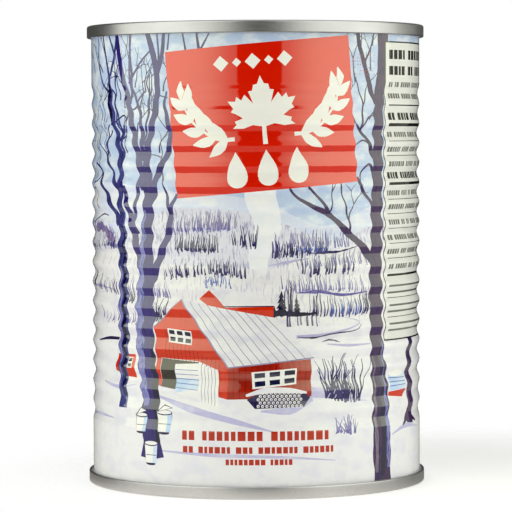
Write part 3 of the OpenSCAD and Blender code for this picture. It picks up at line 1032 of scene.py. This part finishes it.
def math(tree, operation, a, b=None, clamp=False):
    """One Math node on two values, each a socket or a number."""
    node = tree.nodes.new("ShaderNodeMath")
    node.operation = operation
    node.use_clamp = clamp
    for socket, value in zip(node.inputs, (a, b)):
        if isinstance(value, bpy.types.NodeSocket):
            tree.links.new(value, socket)
        elif value is not None:
            socket.default_value = value
    return node.outputs[0]


def noise(tree, place, stretch, detail=2.0, rough=0.5):
    """Noise at a place in millimetres, with stretch features per millimetre on each axis."""
    scaled = tree.nodes.new("ShaderNodeVectorMath")
    scaled.operation = "MULTIPLY"
    tree.links.new(place, scaled.inputs[0])
    scaled.inputs[1].default_value = stretch
    node = tree.nodes.new("ShaderNodeTexNoise")
    node.inputs["Scale"].default_value = 1
    node.inputs["Detail"].default_value = detail
    node.inputs["Roughness"].default_value = rough
    tree.links.new(scaled.outputs[0], node.inputs["Vector"])
    return node.outputs["Fac"]


def ramp(tree, value, low, high, out_low=0.0, out_high=1.0):
    """The value's range from low to high, eased onto the range from out_low to out_high."""
    node = tree.nodes.new("ShaderNodeMapRange")
    node.interpolation_type = "SMOOTHSTEP"
    tree.links.new(value, node.inputs["Value"])
    for name, number in zip(("From Min", "From Max", "To Min", "To Max"), (low, high, out_low, out_high)):
        node.inputs[name].default_value = number
    return node.outputs["Result"]


def mix(tree, share, a, b, blend="MIX"):
    """One colour mixed into another by a share."""
    node = tree.nodes.new("ShaderNodeMix")
    node.data_type = "RGBA"
    node.blend_type = blend
    for socket, value in zip((node.inputs[0], node.inputs[6], node.inputs[7]), (share, a, b)):
        if isinstance(value, bpy.types.NodeSocket):
            tree.links.new(value, socket)
        else:
            socket.default_value = value
    return node.outputs[2]


print("node helpers ready")

# %% Brushwork
brushwork, start_node, end_node = new_group(
    "brushwork",
    [
        ("Place", "NodeSocketVector", None),
        ("Ink", "NodeSocketColor", None),
        ("Wash", "NodeSocketColor", None),
        ("Patches", "NodeSocketFloat", 0.5),
        ("Streaks", "NodeSocketFloat", 0.5),
    ],
    [("Color", "NodeSocketColor")],
)
place = start_node.outputs["Place"]
patch = ramp(brushwork, noise(brushwork, place, (0.16, 0.24, 1), 3.0, 0.6), 0.42, 0.66)
streak = ramp(brushwork, noise(brushwork, place, (1.9, 0.34, 1), 3.0, 0.6), 0.5, 0.64)
patch_share = math(brushwork, "MULTIPLY", patch, start_node.outputs["Patches"])
streak_share = math(brushwork, "MULTIPLY", streak, start_node.outputs["Streaks"])
share = math(brushwork, "MAXIMUM", patch_share, streak_share, True)
painted = mix(brushwork, share, start_node.outputs["Ink"], start_node.outputs["Wash"])
brushwork.links.new(painted, end_node.inputs["Color"])
print("brushwork: patches 5 mm wide, streaks half a millimetre wide")

# %% Scuffs
scuffs, start_node, end_node = new_group(
    "scuffs",
    [("Place", "NodeSocketVector", None), ("Amount", "NodeSocketFloat", 1.0)],
    [("Roughness", "NodeSocketFloat"), ("Height", "NodeSocketFloat")],
)
place = start_node.outputs["Place"]
hairs = ramp(scuffs, noise(scuffs, place, (0.12, 2.6, 1), 2.0, 0.5), 0.68, 0.74)
rubs = ramp(scuffs, noise(scuffs, place, (0.06, 0.09, 1), 4.0, 0.65), 0.45, 0.75)
worn = math(scuffs, "ADD", hairs, rubs)
scuffs.links.new(math(scuffs, "MULTIPLY", worn, start_node.outputs["Amount"]), end_node.inputs["Roughness"])
scuffs.links.new(math(scuffs, "MULTIPLY", hairs, start_node.outputs["Amount"]), end_node.inputs["Height"])
print("scuffs: hair scratches and rubbed patches")

# %% Rolling grain
rolling_grain, start_node, end_node = new_group(
    "rolling_grain",
    [("Place", "NodeSocketVector", None)],
    [("Tone", "NodeSocketFloat"), ("Roughness", "NodeSocketFloat"), ("Height", "NodeSocketFloat")],
)
place = start_node.outputs["Place"]
lines = noise(rolling_grain, place, (0.03, 6.0, 6.0), 3.0, 0.6)
cloud = noise(rolling_grain, place, (0.05, 0.12, 0.12), 3.0, 0.5)
line_tone = ramp(rolling_grain, lines, 0.3, 0.7, -0.5, 0.5)
tone = math(rolling_grain, "ADD", line_tone, ramp(rolling_grain, cloud, 0.3, 0.7, -0.5, 0.5))
rolling_grain.links.new(tone, end_node.inputs["Tone"])
rolling_grain.links.new(ramp(rolling_grain, lines, 0.35, 0.65), end_node.inputs["Roughness"])
rolling_grain.links.new(lines, end_node.inputs["Height"])
print("rolling grain: straight lines along X")

# %% [markdown]
# # 16. Varnished print
# The whole print lies under a clear stoved varnish, which is what shines everywhere. The
# shader's own gloss serves for it, a little golden as stoved varnish is. The second
# shine, from the steel under a clear ink, is the shader's coat, and its weight comes
# from the ink.

# %% Helpers for materials
def new_material(name):
    """An empty material, its node tree, and its Principled shader."""
    made = bpy.data.materials.new(name)
    made.use_nodes = True
    return made, made.node_tree, made.node_tree.nodes["Principled BSDF"]


def use_group(tree, group, **inputs):
    """A group node, with each named input linked or set."""
    node = tree.nodes.new("ShaderNodeGroup")
    node.node_tree = group
    for name, value in inputs.items():
        if isinstance(value, bpy.types.NodeSocket):
            tree.links.new(value, node.inputs[name])
        else:
            node.inputs[name].default_value = value
    return node.outputs


def attribute(tree, name, output):
    """One of a mesh's stored attributes."""
    node = tree.nodes.new("ShaderNodeAttribute")
    node.attribute_name = name
    return node.outputs[output]


def in_millimetres(tree, source, factor):
    """A coordinate scaled so that one unit is a millimetre."""
    node = tree.nodes.new("ShaderNodeVectorMath")
    node.operation = "SCALE"
    node.inputs["Scale"].default_value = factor
    tree.links.new(source, node.inputs[0])
    return node.outputs[0]


def object_place(tree):
    """Object coordinates in millimetres."""
    return in_millimetres(tree, tree.nodes.new("ShaderNodeTexCoord").outputs["Object"], 1 / MM)


def bump(tree, shader, height, distance):
    """A bump of the given height in millimetres, on the shader's normal."""
    node = tree.nodes.new("ShaderNodeBump")
    node.inputs["Distance"].default_value = distance * MM
    node.inputs["Strength"].default_value = 1
    tree.links.new(height, node.inputs["Height"])
    tree.links.new(node.outputs[0], shader.inputs["Normal"])


print("material helpers ready")

# %% Varnished print
varnished_print, tree, shader = new_material("varnished_print")
sheet_node = tree.nodes.new("ShaderNodeUVMap")
sheet_node.uv_map = "sheet"
sheet_mm = in_millimetres(tree, sheet_node.outputs["UV"], sheet_unit)
amounts = tree.nodes.new("ShaderNodeSeparateXYZ")
tree.links.new(attribute(tree, "amounts", "Vector"), amounts.inputs[0])
paint = use_group(
    tree,
    brushwork,
    Place=sheet_mm,
    Ink=attribute(tree, "ink", "Color"),
    Wash=attribute(tree, "wash", "Color"),
    Patches=amounts.outputs[0],
    Streaks=amounts.outputs[1],
)
tree.links.new(paint["Color"], shader.inputs["Base Color"])
tree.links.new(amounts.outputs[2], shader.inputs["Coat Weight"])
wear = use_group(tree, scuffs, Place=sheet_mm, Amount=0.6)
tree.links.new(ramp(tree, wear["Roughness"], 0, 1.2, 0.05, 0.13), shader.inputs["Roughness"])
flow = noise(tree, sheet_mm, (0.5, 0.7, 1), 2.0, 0.5)
film = math(tree, "SUBTRACT", flow, math(tree, "MULTIPLY", wear["Height"], 0.1))
bump(tree, shader, film, 0.004)
shader.inputs["IOR"].default_value = 1.5
shader.inputs["Specular Tint"].default_value = (0.85, 1, 0.5, 1)
shader.inputs["Coat IOR"].default_value = 1.9
shader.inputs["Coat Roughness"].default_value = 0.06
wall_mesh.materials.append(varnished_print)
print("varnished print on the wall")

# %% [markdown]
# # 17. Tinplate
# The ends are bare steel with a thin coat of tin: a soft mirror, a little cool. The
# mill's grain runs straight across each end, because both were stamped from one strip.

# %% Tinplate
tinplate, tree, shader = new_material("tinplate")
metal_place = object_place(tree)
grain = use_group(tree, rolling_grain, Place=metal_place)
wear = use_group(tree, scuffs, Place=metal_place, Amount=0.5)
tin_light, tin_dark = (0.62, 0.62, 0.66, 1), (0.53, 0.53, 0.56, 1)
tone = ramp(tree, grain["Tone"], -1, 1)
tree.links.new(mix(tree, tone, tin_dark, tin_light), shader.inputs["Base Color"])
mill_rough = ramp(tree, grain["Roughness"], 0, 1, 0.33, 0.39)
worn_rough = ramp(tree, wear["Roughness"], 0, 1, 0, 0.1)
tree.links.new(math(tree, "ADD", mill_rough, worn_rough), shader.inputs["Roughness"])
bump(tree, shader, grain["Height"], 0.003)
shader.inputs["Metallic"].default_value = 1
print("tinplate ready")

# %% [markdown]
# # 18. Pressed ends
# An end is stamped from one round blank: a countersink, a flat ring and two steps that
# let it flex, and then its rim is curled and rolled with the wall's flange into a double
# seam. Everything is round the axis, so one profile turned about it makes the piece.


# %% Ends
def arc(r, z, radius, start_deg, stop_deg, steps=10):
    """Points on part of a circle, from one angle to another."""
    a = np.radians(np.linspace(start_deg, stop_deg, steps + 1))
    return np.stack([r + radius * np.cos(a), z + radius * np.sin(a)], -1)


def eased(r0, z0, r1, z1, steps=10):
    """A slope between two points that is level at both ends, by a half cosine."""
    t = np.linspace(0, 1, steps + 1)
    return np.stack([r0 + (r1 - r0) * t, z0 + (z1 - z0) * (1 - np.cos(np.pi * t)) / 2], -1)


plate = 0.24
countersink = 4.0
seam_h = 3.05
seam_inset = 0.42
crown_in, crown_out, hem = 0.5, 0.55, 0.35
chuck_r = wall_r - seam_inset
sink_out, sink_in, ring_out, step_1, step_2 = (chuck_r - d for d in (0.3, 1.2, 2.3, 5.3, 13.2))
ring_depth, shelf_depth, panel_depth = 2.7, 3.15, 3.6
panel_line = np.concatenate([
    [(0.0, -panel_depth), (step_2 / 2, -panel_depth)],
    eased(step_2 - 1.4, -panel_depth, step_2, -shelf_depth),
    eased(step_1 - 1.4, -shelf_depth, step_1, -ring_depth),
    eased(ring_out, -ring_depth, sink_in, -countersink),
    [(sink_out, -countersink)],
])
seam_line = np.concatenate([
    arc(chuck_r + crown_in, -crown_in, crown_in, 180, 90),
    arc(seam_r - crown_out, -crown_out, crown_out, 90, 0),
    arc(seam_r - hem, hem - seam_h, hem, 0, -90),
    [(wall_r + 0.16, -seam_h), (wall_r + 0.07, 0.12 - seam_h), (wall_r + 0.05, 0.5 - seam_h)],
    [(wall_r - 0.05, 0.6 - seam_h), (chuck_r + plate, 0.5 - seam_h)],
])
under_line = np.concatenate([[(sink_out + plate, -countersink - plate)], panel_line[-2::-1] - (0, plate)])
end_profile = np.concatenate([panel_line, seam_line, under_line])


def lathe(name, profile, base_z, up, segments=288):
    """A closed profile turned about Z: (r sin a, -r cos a, base_z + up times height).

    The profile starts and ends on the axis, so its two end rings are single points.
    """
    angle = np.linspace(0, 2 * np.pi, segments, endpoint=False)
    r, h = profile[1:-1, 0][:, None], profile[1:-1, 1][:, None]
    z = (base_z + up * h) * np.ones(segments)
    rings = np.stack([r * np.sin(angle), -r * np.cos(angle), z], -1).reshape(-1, 3)
    poles = [(0, 0, base_z + up * profile[0, 1]), (0, 0, base_z + up * profile[-1, 1])]
    n = len(profile) - 2
    ids = np.arange(n * segments).reshape(n, segments)
    after = np.roll(ids, -1, 1)
    quads = np.stack([ids[:-1], ids[1:], after[1:], after[:-1]], -1).reshape(-1, 4)
    near = np.stack([np.full(segments, n * segments), ids[0], after[0]], -1)
    far = np.stack([np.full(segments, n * segments + 1), after[-1], ids[-1]], -1)
    if up < 0:
        quads, near, far = quads[:, ::-1], near[:, ::-1], far[:, ::-1]
    faces = quads.tolist() + near.tolist() + far.tolist()
    return piece(name, np.concatenate([rings, poles]), faces)


top_end = lathe("pressed_top_end", end_profile, can_h, 1)
bottom_end = lathe("pressed_bottom_end", end_profile, 0, -1)
for end in (top_end, bottom_end):
    end.data.materials.append(tinplate)
print(f"end profile of {len(end_profile)} points, {len(top_end.data.polygons)} faces an end")

# %% [markdown]
# # 19. The welded side seam
# The wall is welded down one side, where the sheet is left bare of print. It is a thin
# strip of steel over the wall: its edges overlap by under a millimetre, and the heat
# leaves a dark line and a blue and straw bloom. The strip follows the beads.

# %% Side seam
strip_half, strip_end, strip_sunk = 1.7, 2.9, -0.2
across = [-1.66, -1.2, -0.62, -0.46, -0.4, -0.2, 0.0, 0.2, 0.38, 0.4, 0.62, 1.2, 1.66]
across = np.array([-strip_half, *across, strip_half])
lift = np.array([-0.05, 0.03, 0.03, 0.03, 0.05, 0.12, 0.15, 0.15, 0.14, 0.12, 0.03, 0.03, 0.03, 0.03, -0.05])
strip_rows = rows[(rows > strip_end) & (rows < can_h - strip_end)]
strip_s, strip_z = np.meshgrid(weld_at + across, strip_rows)
front = on_wall(strip_s, strip_z, lift)
back = on_wall(strip_s, strip_z, strip_sunk)
count_z, count_s = strip_s.shape
front_ids = np.arange(count_z * count_s).reshape(count_z, count_s)
back_ids = front_ids + front_ids.size


def grid_faces(ids):
    """Quads between neighbours of a grid of point numbers."""
    return np.stack([ids[:-1, :-1], ids[:-1, 1:], ids[1:, 1:], ids[1:, :-1]], -1).reshape(-1, 4)


sides = [np.stack([front_ids[0], back_ids[0]]), np.stack([back_ids[-1], front_ids[-1]])]
sides += [np.stack([back_ids[:, 0], front_ids[:, 0]]), np.stack([front_ids[:, -1], back_ids[:, -1]])]
strip_faces = [grid_faces(front_ids), grid_faces(back_ids)[:, ::-1]]
strip_faces += [grid_faces(side)[:, ::-1] for side in sides]
strip_places = np.concatenate([front.reshape(-1, 3), back.reshape(-1, 3)])
side_seam = piece("side_seam", strip_places, np.concatenate(strip_faces).tolist())
heat = side_seam.data.attributes.new("across", "FLOAT", "POINT")
heat.data.foreach_set("value", np.tile(np.abs(strip_s - weld_at).ravel(), 2))
along = side_seam.data.attributes.new("along", "FLOAT", "POINT")
along.data.foreach_set("value", np.tile(strip_z.ravel(), 2))

welded_steel, tree, shader = new_material("welded_steel")
metal_place = object_place(tree)
grain = use_group(tree, rolling_grain, Place=metal_place)
wear = use_group(tree, scuffs, Place=metal_place, Amount=0.8)
far_from_weld = attribute(tree, "across", "Fac")
wander = noise(tree, metal_place, (0.4, 0.4, 0.9), 3.0, 0.6)
distance = math(tree, "ADD", far_from_weld, ramp(tree, wander, 0.3, 0.7, -0.2, 0.2))
straw = mix(tree, ramp(tree, distance, 0.8, 1.5), (0.50, 0.42, 0.30, 1), (0.72, 0.71, 0.69, 1))
blued = mix(tree, ramp(tree, distance, 0.45, 0.85), (0.20, 0.23, 0.30, 1), straw)
scorched = mix(tree, ramp(tree, distance, 0.2, 0.5), (0.26, 0.25, 0.25, 1), blued)
tree.links.new(scorched, shader.inputs["Base Color"])
heat_rough = ramp(tree, distance, 0.2, 1.0, 0.48, 0.26)
worn_rough = ramp(tree, wear["Roughness"], 0, 1, 0, 0.1)
tree.links.new(math(tree, "ADD", heat_rough, worn_rough), shader.inputs["Roughness"])
nuggets = tree.nodes.new("ShaderNodeTexWave")
nuggets.bands_direction = "Z"
nuggets.inputs["Scale"].default_value = 0.33
nuggets.inputs["Distortion"].default_value = 1.2
tree.links.new(metal_place, nuggets.inputs["Vector"])
ripple = math(tree, "MULTIPLY", nuggets.outputs["Fac"], ramp(tree, far_from_weld, 0.3, 0.5, 1, 0))
bump(tree, shader, math(tree, "ADD", ripple, grain["Height"]), 0.02)
shader.inputs["Metallic"].default_value = 1
side_seam.data.materials.append(welded_steel)
print(f"side seam {2 * strip_half} mm wide at {np.degrees(weld_at / wall_r):.0f} degrees from the front")

# %% [markdown]
# 20. Frame
# Each visible piece rides on the tin's one body and stands for the CAD piece it covers.

# %% Rides and replacements
for made, node, finish in (
    (printed_wall, "body", "printed_wall"),
    (top_end, "top_end", "tinplate"),
    (bottom_end, "bottom_end", "tinplate"),
    (side_seam, None, "tinplate"),
):
    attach(made, "root")
    if node:
        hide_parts(node)
print("pieces ride on the root body")

# %% [markdown]
# # 21. Floor, studio and light
# The tin stands on a plain white floor, which in the tin's shine shows a painted glow,
# brightest near the foot. Two tall soft boxes stand close in front of it, left and right,
# each of two panels. The gap between them gives the dark band down the middle, and dark
# walls give each bead a crisp dark line. The inner panels fade away from the gap. A dim
# card stands at the right, and four fills, whose shine is hidden, lift the colours.


# %% Floor and dark walls
def plain_material(name, colour, roughness):
    """A floor or cloth finish: one colour with a soft, slow change of tone."""
    made, tree, shader = new_material(name)
    tone = ramp(tree, noise(tree, object_place(tree), (0.02, 0.02, 0.02), 2.0, 0.5), 0.3, 0.7, 0.97, 1)
    lit = mix(tree, tone, (0, 0, 0, 1), (*colour, 1))
    tree.links.new(lit, shader.inputs["Base Color"])
    shader.inputs["Roughness"].default_value = roughness
    return made, tree, shader


def set_piece(name, places, faces, finish):
    """A plain mesh that belongs to the studio and not to the tin."""
    made = piece(name, places, faces)
    made.data.materials.append(finish)
    made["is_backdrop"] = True
    return made


def far_from(tree, centre):
    """How many millimetres a point lies from a centre."""
    node = tree.nodes.new("ShaderNodeVectorMath")
    node.operation = "DISTANCE"
    tree.links.new(object_place(tree), node.inputs[0])
    node.inputs[1].default_value = centre
    return node.outputs["Value"]


floor_angle = np.linspace(0, 2 * np.pi, 96, endpoint=False)
floor_r = 300.0
shadow_centre = (48, 6, 0)
# Centre of the painted glow that the floor shows in the tin's shine.
painted_glow_centre = (-4, -24, 0)
floor_x, floor_y = floor_r * np.sin(floor_angle), -floor_r * np.cos(floor_angle)
floor_places = np.stack([floor_x, floor_y, 0 * floor_angle], -1)
floor_finish, tree, shader = plain_material("floor_white", (0.86, 0.86, 0.86), 0.6)
ray = tree.nodes.new("ShaderNodeLightPath").outputs
in_camera, in_shine = ray["Is Camera Ray"], ray["Is Glossy Ray"]
facing = tree.nodes.new("ShaderNodeNewGeometry")
seen_from_above = math(tree, "SUBTRACT", 1.0, facing.outputs["Backfacing"])
fade = ramp(tree, far_from(tree, shadow_centre), 50, 130, 1, 0)
table_edge = ramp(tree, far_from(tree, (0, 0, 0)), 190, 205, 1, 0)
white, black = (1, 1, 1, 1), (0, 0, 0, 1)
seen_part = mix(tree, in_camera, mix(tree, in_shine, white, table_edge), fade)
tree.links.new(math(tree, "MULTIPLY", seen_from_above, seen_part), shader.inputs["Alpha"])
# In the tin's shine the floor is black and shows only a painted glow. The glow is warm and strongest near
# the foot, and it fades away from there.
own_colour = shader.inputs["Base Color"].links[0].from_socket
tree.links.new(mix(tree, in_shine, own_colour, black), shader.inputs["Base Color"])
painted_glow_in_shine = ramp(tree, far_from(tree, painted_glow_centre), 24, 58, 1.0, 0.25)
floor_glow = mix(tree, in_shine, (0.35, 0.35, 0.35, 1), painted_glow_in_shine)
tree.links.new(floor_glow, shader.inputs["Emission Strength"])
glow_colour = mix(tree, in_shine, (0.95, 0.95, 1, 1), (1, 0.97, 0.84, 1))
tree.links.new(glow_colour, shader.inputs["Emission Color"])
shader.inputs["Specular IOR Level"].default_value = 0.1
floor = set_piece("floor", floor_places, [list(range(96))], floor_finish)

cloth_finish, _, shader = plain_material("studio_black", (0.01, 0.01, 0.01), 1.0)
shader.inputs["Specular IOR Level"].default_value = 0.0
cloth_angle = np.linspace(0, 2 * np.pi, 73)
cloth_r = 1000.0
cloth_rows = np.array([-600.0, 1300.0])
cloth_ids = np.arange(2 * 73).reshape(2, 73)
cloth_a, cloth_z = np.meshgrid(cloth_angle, cloth_rows)
cloth_places = np.stack([cloth_r * np.sin(cloth_a), -cloth_r * np.cos(cloth_a), cloth_z], -1)
cloth_faces = grid_faces(cloth_ids).tolist()
dark_walls = set_piece("dark_walls", cloth_places.reshape(-1, 3), cloth_faces, cloth_finish)
dark_walls.visible_camera = False
dark_walls.visible_shadow = False
print("floor and dark walls of the studio")

# %% Soft boxes and room light
room_glow = 0.4


def area_light(name, centre, aim, width, height, glow):
    """A rectangle of light at centre that faces aim, both in millimetres.

    glow is its brightness, where a plain white wall in the same light is about one. Its
    power is glow times pi times its area.
    """
    light = bpy.data.lights.new(name, "AREA")
    light.shape = "RECTANGLE"
    light.size, light.size_y = width * MM, height * MM
    light.color = (0.99, 1.0, 0.86)
    light.energy = glow * np.pi * light.size * light.size_y
    made = bpy.data.objects.new(name, light)
    bpy.context.scene.collection.objects.link(made)
    away = (Vector(centre) - Vector(aim)).to_track_quat("Z", "Y").to_matrix().to_4x4()
    made.matrix_world = Matrix.Translation(Vector(centre) * MM) @ away
    made.visible_camera = False
    return made


def soft_box(name, inner_deg, outer_deg, glow):
    """One upright panel of soft box on the floor, from one bearing to another round the tin.

    Bearings are degrees from the front, to the right. The panel's middle is its nearest
    part, and it is as wide as twice that distance times the tangent of half its angle, so
    that panels over equal angles meet edge to edge.
    """
    distance, height = 212, 560
    a, half_angle = np.radians([(inner_deg + outer_deg) / 2, abs(outer_deg - inner_deg) / 2])
    x, y = distance * np.sin(a), -distance * np.cos(a)
    width = 2 * distance * np.tan(half_angle)
    return area_light(name, (x, y, height / 2), (0, 0, height / 2), width, height, glow)


def grade(panel, bright_u):
    """Dims a panel away from one side, where its own u is bright_u, by a square law."""
    panel.data.use_nodes = True
    tree = panel.data.node_tree
    own = tree.nodes.new("ShaderNodeSeparateXYZ")
    tree.links.new(tree.nodes.new("ShaderNodeNewGeometry").outputs["Parametric"], own.inputs[0])
    away = math(tree, "POWER", math(tree, "ABSOLUTE", math(tree, "SUBTRACT", own.outputs[0], bright_u)), 2)
    tree.links.new(ramp(tree, away, 0, 1, 1, 0.35), tree.nodes["Emission"].inputs["Strength"])


def fill(name, bearing_deg, glow):
    """A light that the shine of the tin doesn't show, so that it only lifts the colours."""
    distance, height, aim_height, side = 850, 420, 60, 700
    a = np.radians(bearing_deg)
    place = (distance * np.sin(a), -distance * np.cos(a), height)
    made = area_light(name, place, (0, 0, aim_height), side, side, glow)
    made.visible_glossy = False


box_glow = 1.5
grade(soft_box("left_inner_panel", -11.3, -54.4, box_glow), 0)
soft_box("left_outer_panel", -54.4, -97.5, box_glow)
grade(soft_box("right_inner_panel", 16.5, 58, box_glow), 1)
soft_box("right_outer_panel", 58, 99.5, box_glow)
soft_box("side_card", 99.5, 126, 0.3)
fill("front_fill", 0, 0.25)
fill("left_fill", -100, 0.55)
fill("right_fill", 100, 0.45)
fill("back_fill", 180, 0.8)

room = bpy.data.worlds.new("pale_room")
room.use_nodes = True
tree = room.node_tree
seen = tree.nodes.new("ShaderNodeLightPath").outputs["Is Camera Ray"]
background = tree.nodes["Background"]
background.inputs["Color"].default_value = (1, 1, 1, 1)
tree.links.new(ramp(tree, seen, 0, 1, room_glow, 1.0), background.inputs["Strength"])
bpy.context.scene.world = room
print("two soft boxes of two panels, a side card, four fills and a pale room")

# %% [markdown]
# 22. The size
# The finished tin must fill the same box as the CAD model and never pass it. Its own
# box is measured and printed.

# %% Measure the finished tin
finished_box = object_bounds()
for which, low, high in zip("xyz", finished_box[0], finished_box[1]):
    print(f"{which}: {low / MM:.2f} to {high / MM:.2f} mm")
